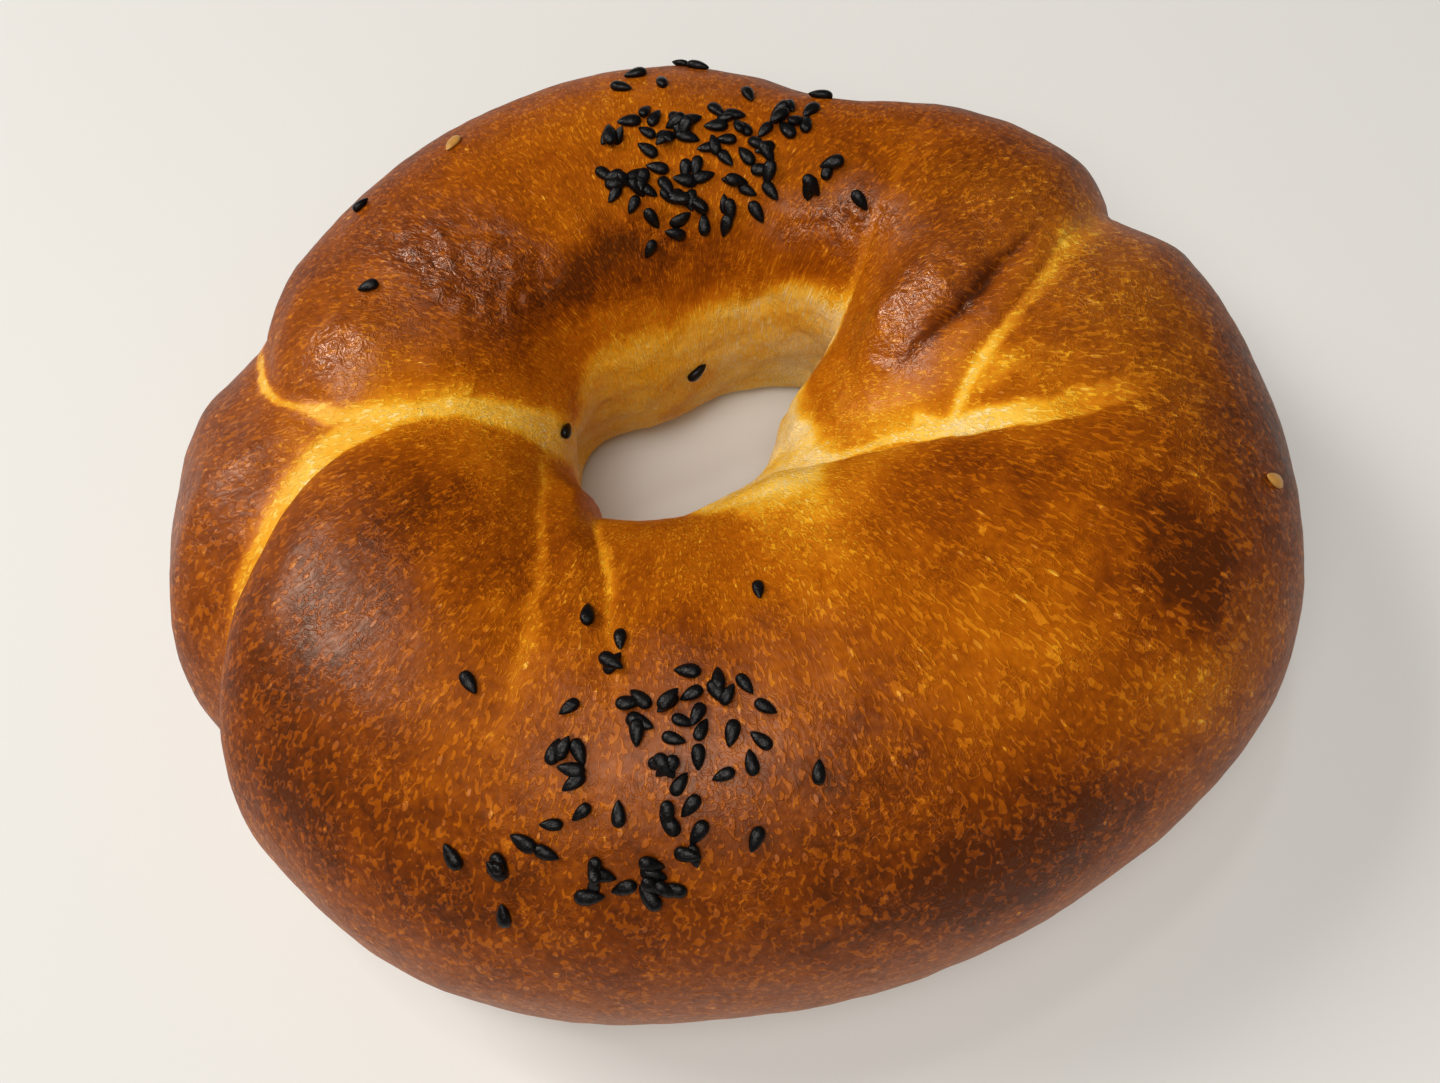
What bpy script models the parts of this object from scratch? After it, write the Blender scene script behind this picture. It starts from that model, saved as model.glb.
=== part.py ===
"""An acma: a soft ring bread, twisted from one rope of dough, with nigella seeds baked into its crust.

The bread is one solid. A plain torus gives the closed surface, and each of its points is moved to its
place on the twisted ring by two angles: around (the way round the ring, 0 at +X, 90 at +Y) and across
(the way round the rope of dough, 0 on the outside, 90 on the crown, 180 in the hole, 270 underneath).
The seeds are laid on that surface by a seeded rule and fused to it. The ring rests on z = 0.
"""
import math
import random
from collections import namedtuple

import bmesh
import bpy
import numpy as np
from mathutils import Matrix, Vector
from mathutils.bvhtree import BVHTree

MM = 0.001

# ---------------------------------------------------------------- the ring of dough (mm, degrees)
# The hole sits behind the middle, because the rope is fatter in front than at the back.
HOLE_CENTRE = (-3.2, 7.7)
# From the hole's centre, every 30 degrees from +X: out to the side, out to the hole's wall, and the height.
OUTSIDE = (64, 55.5, 47, 48.5, 49, 51.5, 58, 63.5, 66, 64, 66, 70)
HOLE_WALL = (10.5, 16.5, 12, 8, 8, 10.5, 9.6, 12.5, 12.6, 11.8, 8.5, 8.5)
HEIGHT = (40, 39, 37, 37, 38, 38, 39, 41, 42, 43, 42, 41)
WIDEST_AT = 0.42            # share of the height at which the rope is widest
CROWN_ROUNDNESS = 2.15      # 2 is an ellipse, more is squarer
FOOT_ROUNDNESS = 2.8
FOOT_OVERRUN = 1.10         # the lower half would reach this far down, and the tray cuts it flat
FOLD_FADE = 6.0             # above the tray, the height over which a fold opens
THINNEST = 8.0              # the least radius that turns across degrees into mm

# ---------------------------------------------------------------- the folds between the twisted lobes
# A route goes over the dough as (across, around, depth mm). The floor is the width of stretched pale
# dough at the bottom. Before and after are the lobes on its clockwise and counter-clockwise sides:
# how far each takes to rise (mm), and how rolled its edge is, from 0, a soft slope, to 1, a round lip.
Fold = namedtuple("Fold", "route floor before after")
FOLDS = (
    # the seam over the left of the ring, from the hole's corner to the outside
    Fold(((215, 167, 3.8), (190, 171, 4.5), (170, 181, 3.0), (155, 188, 2.2), (140, 187.5, 1.7), (122, 184, 1.6),
          (104, 183.5, 1.7), (88, 182.5, 1.9), (76, 179.5, 2.2), (61, 175, 2.5), (48, 169, 2.7), (34, 164, 2.6),
          (-15, 160, 1.2)),
         3.0, (8, 0.5), (9, 0.3)),
    # its branch, which bends forward under the big front lobe
    Fold(((112, 183.5, 0.0), (100, 185, 1.7), (85, 189, 2.6), (65, 197.5, 3.2), (42, 205.3, 3.8),
          (15, 211.5, 3.8), (-20, 215.5, 2.0)),
         2.4, (12, 0.1), (8, 1.0)),
    # two shallow ridges that run forward from the hole
    Fold(((180, 184, 2.0), (158, 191, 1.2), (147, 200, 1.0), (140, 213, 0.9), (131, 223.5, 0.8), (121.5, 231, 0.8),
          (113, 235.5, 0.7), (98, 240.5, 0.5), (86, 243, 0.0)),
         0.8, (6, 0.3), (6, 0.3)),
    Fold(((200, 222, 2.0), (160, 228, 1.8), (146, 233.5, 1.5), (134, 241, 1.3), (124, 246.5, 1.1), (112, 251.5, 0.9),
          (96, 254.5, 0.5), (85, 256.5, 0.0)),
         0.6, (4, 0.3), (7, 0.6)),
    # the seam over the right of the ring, with the front lobe's crisp edge before it
    Fold(((205, 289, 1.0), (185, 292, 1.3), (169, 299, 1.8), (155, 308, 2.4), (139, 321, 2.8), (124, 330.5, 2.8),
          (110, 336.5, 2.7), (96, 340.5, 2.4), (82, 345, 1.8), (66, 349.5, 0.9), (50, 351, 0.0)),
         2.4, (7, 0.8), (13, 0.1)),
    # its branch, which bends back to the notch in the far right of the outline
    Fold(((112, -23, 0.0), (106, -12, 1.3), (98, -4, 1.6), (90, 2.5, 1.7), (80, 8.5, 1.9), (64, 13.5, 2.4),
          (36, 17.5, 3.0), (0, 20, 2.2), (-30, 22, 0.6)),
         1.4, (8, 0.3), (7, 0.6)),
    # the dark crease under the bulge beside that branch
    Fold(((127, -12, 0.0), (116, -5.0, 1.3), (103, 4.0, 2.0), (96, 8.2, 1.9), (87, 12.0, 1.2), (76, 16, 0.5),
          (66, 18, 0.0)),
         0.2, (3.5, 0.2), (2.4, 1.0)),
    # the seam between the far lobe and the right one, deepest in the hole
    Fold(((215, 40, 3.0), (190, 34, 4.0), (165, 25, 3.2), (150, 23, 2.2), (135, 26, 1.4), (115, 32, 0.9),
          (98, 36, 0.7), (77, 40, 0.7), (60, 43, 0.3), (40, 46, 0.0)),
         0.4, (7, 0.7), (10, 0.2)),
)

# Low swellings and hollows: around, across, half length round the ring, half length across it,
# turn of the long side from the ring's own way towards its outside, and height (mm, degrees).
Swelling = namedtuple("Swelling", "around across long wide turn height")
SWELLINGS = (
    Swelling(5.5, 116.5, 8.8, 4.3, -51, 2.6),
    Swelling(57, 40, 8.0, 8.0, 0, -1.0),
    Swelling(171, 84, 5.0, 4.5, 0, 0.9),
)

# ---------------------------------------------------------------- the mesh
AROUND_STEPS = 84
ACROSS_STEPS = 28
CROWN_GATHER = 0.25         # how far the rows draw together over the crown, where the folds are
FOLD_GATHER = 0.6           # how far the columns draw together along a fold
GATHER_REACH = 9.0          # from this many degrees away

# ---------------------------------------------------------------- the seeds (mm, degrees)
NIGELLA = (2.6, 1.5, 0.85)   # length, width, and thickness over width
SESAME = (2.8, 1.6, 0.55)
SEED_SIZES = (0.84, 1.12)     # smallest and largest, over the usual one
SEED_SINK = 0.25              # height of a seed's middle above the crust, over its thickness
SEED_GAP = 2.1                # the least way between two seeds' middles
SEED_TRIES = 12
SEED_SIDES = 5
SEED_RINGS = 4
SEED_TAPER = 0.45
SCATTER_START = 11
# Patches of nigella: around, across, seeds, radius of the patch (mm).
PATCHES = (
    # the far lobe
    (92, 84, 4, 2.2), (84, 88, 7, 2.2), (73, 85, 7, 2.4), (60, 80, 8, 2.4), (98, 88, 3, 0.8),
    (89, 96, 4, 2.0), (77, 94, 2, 1.4), (65, 94, 6, 3.0), (96, 104, 9, 2.8), (83, 106, 8, 2.6),
    (64, 108, 7, 3.2), (49, 104, 5, 2.0), (89, 114, 5, 2.4), (77, 117, 3, 1.2),
    # the front
    (255, 96, 2, 1.3), (265, 92, 4, 2.0), (272, 91, 4, 1.6), (260, 87, 4, 2.2), (266, 84, 5, 2.6),
    (251, 79, 5, 2.2), (264, 78, 4, 1.6), (272, 78, 4, 2.4), (264, 70, 3, 1.4), (266, 64, 3, 1.8),
    (250, 64, 3, 2.0), (257, 56, 6, 2.0), (262, 56, 6, 1.8), (247, 56, 3, 0.6),
)
# Nigella that lies alone: around, across, and the turn of its point from the ring's own way to the hole.
STRAYS = (
    (87, 66, -80), (71, 70, 120), (59, 62, 20), (72, 98, 140), (103, 99, 130), (38, 111, 165), (98, 110, 50),
    (86, 121, -20), (68, 121, 85), (60, 117, 140), (96, 124, 50), (158, 84, -55), (142, 56, 165),
    (91.4, 57.6, 10), (94.2, 66.6, 150), (84.2, 43.2, -20), (81.2, 47.5, 160),
    (80, 176, -160), (182, 156, 145),
    (248, 108, 105), (255, 103, -80), (280, 108, -100), (236, 88, -30), (250, 89, -130), (276, 86, -40),
    (280, 72, 70), (254, 70, -130), (258, 70, 95), (272, 62, -120), (242, 56, 140), (248, 46, 105),
)
SESAME_SEEDS = ((125, 62, 33), (341, 41, 95))


# ---------------------------------------------------------------- the surface
def ring_curve(stations, around):
    """A smooth closed curve through values at even steps round the ring; around is in radians."""
    stations = np.asarray(stations, float)
    place = (np.asarray(around) / math.tau * len(stations)) % len(stations)
    start = np.floor(place).astype(int)
    t = place - start
    before, here, there, after = (stations[(start + k) % len(stations)] for k in (-1, 0, 1, 2))
    return 0.5 * (2 * here + (there - before) * t
                  + (2 * before - 5 * here + 4 * there - after) * t ** 2
                  + (3 * here - before - 3 * there + after) * t ** 3)


def route_curve(places, values, at):
    """A smooth open curve through (place, value) pairs, level beyond its two ends."""
    order = np.argsort(places)
    places, values = np.asarray(places, float)[order], np.asarray(values, float)[order]
    slopes = np.gradient(values, places)
    at = np.clip(at, places[0], places[-1])
    k = np.clip(np.searchsorted(places, at) - 1, 0, len(places) - 2)
    span = places[k + 1] - places[k]
    t = (at - places[k]) / span
    return ((2 * t ** 3 - 3 * t ** 2 + 1) * values[k] + (t ** 3 - 2 * t ** 2 + t) * span * slopes[k]
            + (3 * t ** 2 - 2 * t ** 3) * values[k + 1] + (t ** 3 - t ** 2) * span * slopes[k + 1])


def turn_from(angle, start):
    """The way in degrees from start to angle, between -180 and 180."""
    return (angle - start + 180) % 360 - 180


def lip(t, roll):
    """How deep the dough lies at t, from 1 on a fold's floor to 0 where the lobe has risen."""
    t = np.clip(t, 0, 1)
    rolled = 1 - np.sqrt(np.maximum(0, 1 - (1 - t) ** 2))
    soft = (1 - t) ** 2 * (1 + 2 * t)
    return roll * rolled + (1 - roll) * soft


def fold_depth(fold, around, across, radius, thickness):
    """Depth in mm of one fold. The angles are in degrees, across between -90 and 270."""
    across_at, around_at, depth_at = (np.array(column, float) for column in zip(*fold.route))
    line = route_curve(across_at, around_at, across)
    lean = route_curve(across_at, around_at, across + 0.5) - route_curve(across_at, around_at, across - 0.5)
    side = np.radians(turn_from(around, line)) * radius / np.sqrt(1 + (radius * lean / thickness) ** 2)
    width = np.where(side > 0, fold.after[0], fold.before[0])
    roll = np.where(side > 0, fold.after[1], fold.before[1])
    depth = np.maximum(0, route_curve(across_at, depth_at, across))
    past_end = np.maximum(across_at.min() - across, across - across_at.max())
    ending = np.clip(1 - past_end / 12, 0, 1)
    return depth * ending * lip((np.abs(side) - fold.floor / 2) / width, roll)


def swelling_height(swelling, around, across, radius, thickness):
    """Height in mm of one swelling above the plain dough."""
    east = np.radians(turn_from(around, swelling.around)) * radius
    north = np.radians(turn_from(across, swelling.across)) * thickness
    c, s = math.cos(math.radians(swelling.turn)), math.sin(math.radians(swelling.turn))
    reach = ((east * c + north * s) / swelling.long) ** 2 + ((north * c - east * s) / swelling.wide) ** 2
    return swelling.height * np.exp(-1.2 * reach ** 1.6)


def crust(around, across):
    """Points of the crust, in metres, at angles in radians."""
    around, across = np.broadcast_arrays(np.asarray(around, float), np.asarray(across, float))
    outside, wall, height = (ring_curve(row, around) for row in (OUTSIDE, HOLE_WALL, HEIGHT))
    middle = (outside + wall) / 2
    c, s = np.cos(across), np.sin(across)
    power = 2 / np.where(s >= 0, CROWN_ROUNDNESS, FOOT_ROUNDNESS)
    out = (outside - wall) / 2 * np.sign(c) * np.abs(c) ** power
    up = np.sign(s) * np.abs(s) ** power
    above = up * (1 - WIDEST_AT) * height
    below = np.maximum(-WIDEST_AT, up * WIDEST_AT * FOOT_OVERRUN) * height
    up = np.where(s >= 0, above, below)

    thickness = np.hypot(out, up)
    arc = np.maximum(thickness, THINNEST)
    radius = np.maximum(middle + out, 4)
    around_deg = np.degrees(around)
    across_deg = (np.degrees(across) + 90) % 360 - 90
    # where two folds meet, the deeper one counts, with a soft change between them
    depth = sum(fold_depth(fold, around_deg, across_deg, radius, arc) ** 4 for fold in FOLDS) ** 0.25
    rise = sum(swelling_height(each, around_deg, across_deg, radius, arc) for each in SWELLINGS)
    clear = np.clip((up + WIDEST_AT * height) / FOLD_FADE, 0, 1)
    shrink = 1 - (depth - rise) * clear / np.maximum(thickness, 1)
    reach = middle + out * shrink
    x = HOLE_CENTRE[0] + reach * np.cos(around)
    y = HOLE_CENTRE[1] + reach * np.sin(around)
    z = WIDEST_AT * height + up * shrink
    return np.stack([x, y, z], -1) * MM


def gathered(around, across):
    """Around angles, in radians, drawn towards the folds, so that the mesh has its columns along them."""
    around_deg = np.degrees(around)
    across_deg = (np.degrees(across) + 90) % 360 - 90
    for fold in FOLDS:
        across_at, around_at, depth_at = (np.array(column, float) for column in zip(*fold.route))
        away = turn_from(around_deg, route_curve(across_at, around_at, across_deg))
        depth = np.maximum(0, route_curve(across_at, depth_at, across_deg))
        pull = FOLD_GATHER * np.minimum(1, depth) * np.exp(-(away / GATHER_REACH) ** 2)
        around_deg = around_deg - pull * away
    return np.radians(around_deg)


# ---------------------------------------------------------------- the pieces
def crust_material():
    material = bpy.data.materials.new("egg_washed_crust")
    material.use_nodes = True
    shader = material.node_tree.nodes["Principled BSDF"]
    shader.inputs["Base Color"].default_value = (0.42, 0.13, 0.02, 1)
    shader.inputs["Roughness"].default_value = 0.38
    shader.inputs["Metallic"].default_value = 0.0
    return material


def make_bread(name, collection):
    """The twisted ring, from a torus whose points are moved onto the crust."""
    ring_radius, rope_radius = 37 * MM, 20 * MM
    bpy.ops.mesh.primitive_torus_add(major_segments=AROUND_STEPS, minor_segments=ACROSS_STEPS,
                                     major_radius=ring_radius, minor_radius=rope_radius)
    bread = bpy.context.object
    bread.name = bread.data.name = name
    for owner in list(bread.users_collection):
        owner.objects.unlink(bread)
    collection.objects.link(bread)
    points = np.array([vertex.co for vertex in bread.data.vertices], float)
    around = np.arctan2(points[:, 1], points[:, 0])
    across = np.arctan2(points[:, 2], np.hypot(points[:, 0], points[:, 1]) - ring_radius)
    across += CROWN_GATHER * np.cos(across)
    around = gathered(around, across)
    bread.data.vertices.foreach_set("co", crust(around, across).ravel())
    bread.data.update()
    return bread


def seed_mesh(name, length, width, flatness, size):
    """One seed along X, blunt at one end and drawn to a point at the other."""
    shape = bmesh.new()
    bmesh.ops.create_uvsphere(shape, u_segments=SEED_SIDES, v_segments=SEED_RINGS, radius=1)
    for vertex in shape.verts:
        along = vertex.co.z
        slim = 1 - SEED_TAPER * max(0, along)
        vertex.co = Vector((along * length / 2, vertex.co.y * slim * width / 2,
                            vertex.co.x * slim * width * flatness / 2)) * size * MM
    bmesh.ops.recalc_face_normals(shape, faces=shape.faces)
    mesh = bpy.data.meshes.new(name)
    shape.to_mesh(mesh)
    shape.free()
    return mesh


def on_ring(around, across):
    """A point of the exact crust, in mm, at angles in degrees."""
    return crust(math.radians(around), math.radians(across)) / MM


def scattered_places(draw):
    """The nigella's (around, across, turn, size): those that lie alone, then the patches as they have room."""
    places = [(*stray, draw.uniform(*SEED_SIZES)) for stray in STRAYS]
    taken = [on_ring(around, across) for around, across, _ in STRAYS]
    for around, across, seeds, spread in PATCHES:
        middle = on_ring(around, across)
        degree_around = np.linalg.norm(on_ring(around + 1, across) - middle)
        degree_across = np.linalg.norm(on_ring(around, across + 1) - middle)
        for _ in range(seeds):
            for _ in range(SEED_TRIES):
                way = spread * math.sqrt(draw.random())
                angle = draw.uniform(0, math.tau)
                spot = (around + way * math.cos(angle) / degree_around,
                        across + way * math.sin(angle) / degree_across)
                point = on_ring(*spot)
                if all(np.linalg.norm(point - other) > SEED_GAP for other in taken):
                    taken.append(point)
                    places.append((*spot, draw.uniform(0, 360), draw.uniform(*SEED_SIZES)))
                    break
    return places


def lay_seed(name, kind, tree, around, across, turn, size, collection):
    """A seed lying on the faceted crust, its point turned from the ring's own way, and sunk a little way in."""
    length, width, flatness = kind
    place, normal, _, _ = tree.find_nearest(Vector((on_ring(around, across) * MM).tolist()))
    way = Vector((-math.sin(math.radians(around)), math.cos(math.radians(around)), 0))
    way = (way - normal * way.dot(normal)).normalized()
    along = Matrix.Rotation(math.radians(turn), 3, normal) @ way
    axes = Matrix((along, normal.cross(along), normal)).transposed()
    lift = normal * (width * flatness * SEED_SINK * MM)
    seed = bpy.data.objects.new(name, seed_mesh(name, length, width, flatness, size))
    seed.matrix_world = Matrix.Translation(place + lift) @ axes.to_4x4()
    collection.objects.link(seed)


def fuse(body, pieces):
    """One Boolean union of the body with every piece of a collection, applied."""
    union = body.modifiers.new("seeds", 'BOOLEAN')
    union.operation = 'UNION'
    union.operand_type = 'COLLECTION'
    union.collection = pieces
    union.solver = 'EXACT'
    bpy.context.view_layer.update()
    bpy.context.view_layer.objects.active = body
    bpy.ops.object.modifier_apply(modifier=union.name)
    for piece in list(pieces.objects):
        bpy.data.objects.remove(piece, do_unlink=True)
    bpy.data.collections.remove(pieces)


def keep_outer_skin(body):
    """Drop every shell but the largest: pockets sealed between seeds, and scraps that touch nothing."""
    shape = bmesh.new()
    shape.from_mesh(body.data)
    left = set(shape.verts)
    shells = []
    while left:
        shell, edge_of_shell = set(), [left.pop()]
        while edge_of_shell:
            vertex = edge_of_shell.pop()
            shell.add(vertex)
            for edge in vertex.link_edges:
                other = edge.other_vert(vertex)
                if other in left:
                    left.remove(other)
                    edge_of_shell.append(other)
        shells.append(shell)
    shells.sort(key=len)
    for shell in shells[:-1]:
        bmesh.ops.delete(shape, geom=list(shell), context='VERTS')
    shape.to_mesh(body.data)
    shape.free()
    return len(shells) - 1


def main():
    for old in list(bpy.data.objects):
        bpy.data.objects.remove(old, do_unlink=True)
    acma = bpy.data.collections.new("acma")
    seeds = bpy.data.collections.new("seeds")
    for collection in (acma, seeds):
        bpy.context.scene.collection.children.link(collection)

    bread = make_bread("acma_bread", acma)
    shape = bmesh.new()
    shape.from_mesh(bread.data)
    tree = BVHTree.FromBMesh(shape)
    shape.free()
    for number, place in enumerate(scattered_places(random.Random(SCATTER_START))):
        lay_seed(f"nigella_{number}", NIGELLA, tree, *place, seeds)
    for number, place in enumerate(SESAME_SEEDS):
        lay_seed(f"sesame_{number}", SESAME, tree, *place, 1.0, seeds)
    seeds_laid = len(seeds.objects)
    fuse(bread, seeds)
    dropped = keep_outer_skin(bread)
    bread.data.materials.clear()
    bread.data.materials.append(crust_material())
    print(bread.name, "faces", len(bread.data.polygons), "shells dropped", dropped, "seeds", seeds_laid)


main()
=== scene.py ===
# %% [markdown]
# # An acma, a twisted ring bread
#
# An acma is one rope of rich, soft dough, twisted, closed to a ring, brushed with egg and strewn with
# nigella. In the oven the lobes of the twist swell against each other. Where they pull apart, pale dough
# is stretched open between them, and where they stand up to the heat the egg wash turns brown and glossy.
# This lesson dresses the plain solid of the bread: a fine crust with its folds, blisters and browning, and
# then the seeds. The solid comes first, as a fixed frame, because every piece here has to fit it.

# %% Load the solid
import math
import random
from collections import namedtuple

import bmesh
import bpy
import numpy as np
from mathutils import Matrix, Vector, noise
from mathutils.bvhtree import BVHTree


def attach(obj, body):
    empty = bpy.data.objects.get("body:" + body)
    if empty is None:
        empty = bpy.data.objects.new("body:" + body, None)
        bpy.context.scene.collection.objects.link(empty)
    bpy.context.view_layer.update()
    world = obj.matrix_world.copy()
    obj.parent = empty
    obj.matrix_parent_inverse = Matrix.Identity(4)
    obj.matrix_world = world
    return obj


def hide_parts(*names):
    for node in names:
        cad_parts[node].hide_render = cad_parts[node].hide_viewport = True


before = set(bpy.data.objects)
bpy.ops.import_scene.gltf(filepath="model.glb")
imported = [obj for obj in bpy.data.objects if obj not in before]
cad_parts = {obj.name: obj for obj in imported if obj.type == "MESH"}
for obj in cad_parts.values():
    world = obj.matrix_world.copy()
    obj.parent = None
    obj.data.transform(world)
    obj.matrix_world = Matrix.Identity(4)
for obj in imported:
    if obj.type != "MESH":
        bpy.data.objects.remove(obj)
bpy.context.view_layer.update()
MM = 0.001

# %% [markdown]
# ## The ring
#
# The crust is drawn with two angles. Around goes the way round the ring, from +X towards +Y, and across
# goes the way round the rope of dough: 0 on the outside, 90 on the crown, 180 in the hole, 270 underneath.
# A list holds one value for every 30 degrees round the ring, and a smooth closed curve runs through it.
# These are the same sizes as the solid's, so the crust lies on it.

# %% The ring's sizes
HOLE_CENTRE = (-3.2, 7.7)
OUTSIDE = (64, 55.5, 47, 48.5, 49, 51.5, 58, 63.5, 66, 64, 66, 70)
HOLE_WALL = (10.5, 16.5, 12, 8, 8, 10.5, 9.6, 12.5, 12.6, 11.8, 8.5, 8.5)
HEIGHT = (40, 39, 37, 37, 38, 38, 39, 41, 42, 43, 42, 41)
WIDEST_AT = 0.42
CROWN_ROUNDNESS = 2.15
FOOT_ROUNDNESS = 2.8
FOOT_OVERRUN = 1.10
FOLD_FADE = 6.0
THINNEST = 8.0
LEAST_RADIUS = 4
print("from the middle of the hole to the outside", min(OUTSIDE), "to", max(OUTSIDE), "mm")

# %% Smooth curves
def ring_curve(stations, around):
    """A smooth closed curve through values at even steps round the ring; around is in radians."""
    stations = np.asarray(stations, float)
    place = (np.asarray(around) / math.tau * len(stations)) % len(stations)
    start = np.floor(place).astype(int)
    t = place - start
    before, here, there, after = (stations[(start + k) % len(stations)] for k in (-1, 0, 1, 2))
    return 0.5 * (2 * here + (there - before) * t
                  + (2 * before - 5 * here + 4 * there - after) * t ** 2
                  + (3 * here - before - 3 * there + after) * t ** 3)


def route_curve(places, values, at):
    """A smooth open curve through (place, value) pairs, level beyond its two ends."""
    order = np.argsort(places)
    places, values = np.asarray(places, float)[order], np.asarray(values, float)[order]
    slopes = np.gradient(values, places)
    at = np.clip(at, places[0], places[-1])
    k = np.clip(np.searchsorted(places, at) - 1, 0, len(places) - 2)
    span = places[k + 1] - places[k]
    t = (at - places[k]) / span
    return ((2 * t ** 3 - 3 * t ** 2 + 1) * values[k] + (t ** 3 - 2 * t ** 2 + t) * span * slopes[k]
            + (3 * t ** 2 - 2 * t ** 3) * values[k + 1] + (t ** 3 - t ** 2) * span * slopes[k + 1])


def turn_from(angle, start):
    """The way in degrees from start to angle, between -180 and 180."""
    return (angle - start + 180) % 360 - 180


print("outside, halfway between two values", ring_curve(OUTSIDE, math.radians(15)).round(2), "mm")

# %% [markdown]
# ## The folds
#
# A fold is a valley between two lobes of the twist. Its route goes over the dough as a few points of
# (across, around, depth). On each side the lobe rises over a width of its own: an old, soft seam rises
# slowly, and the edge of a lobe that lies over its neighbour is rolled, like the lip of a jar. Past the
# ends of its route a fold runs out.

# %% The folds' routes
Fold = namedtuple("Fold", "route floor before after")
LEFT_SEAM = Fold(
    ((215, 167, 3.8), (190, 171, 4.5), (170, 181, 3.0), (155, 188, 2.2), (140, 187.5, 1.7), (122, 184, 1.6),
     (104, 183.5, 1.7), (88, 182.5, 1.9), (76, 179.5, 2.2), (61, 175, 2.5), (48, 169, 2.7), (34, 164, 2.6),
     (-15, 160, 1.2)),
    3.0, (8, 0.5), (9, 0.3))
LEFT_BRANCH = Fold(
    ((112, 183.5, 0.0), (100, 185, 1.7), (85, 189, 2.6), (65, 197.5, 3.2), (42, 205.3, 3.8),
     (15, 211.5, 3.8), (-20, 215.5, 2.0)),
    2.4, (12, 0.1), (8, 1.0))
FRONT_RIDGE = Fold(
    ((180, 184, 2.0), (158, 191, 1.2), (147, 200, 1.0), (140, 213, 0.9), (131, 223.5, 0.8), (121.5, 231, 0.8),
     (113, 235.5, 0.7), (98, 240.5, 0.5), (86, 243, 0.0)),
    0.8, (6, 0.3), (6, 0.3))
SECOND_RIDGE = Fold(
    ((200, 222, 2.0), (160, 228, 1.8), (146, 233.5, 1.5), (134, 241, 1.3), (124, 246.5, 1.1),
     (112, 251.5, 0.9), (96, 254.5, 0.5), (85, 256.5, 0.0)),
    0.6, (4, 0.3), (7, 0.6))
RIGHT_SEAM = Fold(
    ((205, 289, 1.0), (185, 292, 1.3), (169, 299, 1.8), (155, 308, 2.4), (139, 321, 2.8), (124, 330.5, 2.8),
     (110, 336.5, 2.7), (96, 340.5, 2.4), (82, 345, 1.8), (66, 349.5, 0.9), (50, 351, 0.0)),
    2.4, (7, 0.8), (13, 0.1))
RIGHT_BRANCH = Fold(
    ((112, -23, 0.0), (106, -12, 1.3), (98, -4, 1.6), (90, 2.5, 1.7), (80, 8.5, 1.9), (64, 13.5, 2.4),
     (36, 17.5, 3.0), (0, 20, 2.2), (-30, 22, 0.6)),
    1.4, (8, 0.3), (7, 0.6))
CREASE = Fold(
    ((127, -12, 0.0), (116, -5.0, 1.3), (103, 4.0, 2.0), (96, 8.2, 1.9), (87, 12.0, 1.2), (76, 16, 0.5),
     (66, 18, 0.0)),
    0.2, (3.5, 0.2), (2.4, 1.0))
FAR_SEAM = Fold(
    ((215, 40, 3.0), (190, 34, 4.0), (165, 25, 3.2), (150, 23, 2.2), (135, 26, 1.4), (115, 32, 0.9),
     (98, 36, 0.7), (77, 40, 0.7), (60, 43, 0.3), (40, 46, 0.0)),
    0.4, (7, 0.7), (10, 0.2))
FOLDS = (LEFT_SEAM, LEFT_BRANCH, FRONT_RIDGE, SECOND_RIDGE, RIGHT_SEAM, RIGHT_BRANCH, CREASE, FAR_SEAM)
print(len(FOLDS), "folds, the deepest", max(depth for fold in FOLDS for _, _, depth in fold.route), "mm")

# %% How deep a fold is
FOLD_RUNOUT = 12


def side_of(fold, around, across, radius, thickness):
    """Distance in mm from the fold's line, below 0 on its clockwise side. The angles are in degrees."""
    across_at, around_at, _ = (np.array(column, float) for column in zip(*fold.route))
    line = route_curve(across_at, around_at, across)
    lean = route_curve(across_at, around_at, across + 0.5) - route_curve(across_at, around_at, across - 0.5)
    return np.radians(turn_from(around, line)) * radius / np.sqrt(1 + (radius * lean / thickness) ** 2)


def lip(t, roll):
    """How deep the dough lies at t, from 1 on a fold's floor to 0 where the lobe has risen."""
    t = np.clip(t, 0, 1)
    rolled = 1 - np.sqrt(np.maximum(0, 1 - (1 - t) ** 2))
    soft = (1 - t) ** 2 * (1 + 2 * t)
    return roll * rolled + (1 - roll) * soft


def fold_depth(fold, around, across, radius, thickness):
    """Depth in mm of one fold."""
    side = side_of(fold, around, across, radius, thickness)
    across_at, _, depth_at = (np.array(column, float) for column in zip(*fold.route))
    width = np.where(side > 0, fold.after[0], fold.before[0])
    roll = np.where(side > 0, fold.after[1], fold.before[1])
    depth = np.maximum(0, route_curve(across_at, depth_at, across))
    past_end = np.maximum(across_at.min() - across, across - across_at.max())
    ending = np.clip(1 - past_end / FOLD_RUNOUT, 0, 1)
    return depth * ending * lip((np.abs(side) - fold.floor / 2) / width, roll)


print("a soft lobe, halfway up, lies", lip(0.5, 0.0), "deep, and a rolled one", lip(0.5, 1.0).round(2))

# %% [markdown]
# ## The surface
#
# Across a cut through the rope the crust is a superellipse, rounder above and squarer where it sat on the
# tray. The folds and a few low swellings move it in or out along the line from the middle of the rope.

# %% The plain rope of dough
Rope = namedtuple("Rope", "out up middle height radius thickness")


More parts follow.
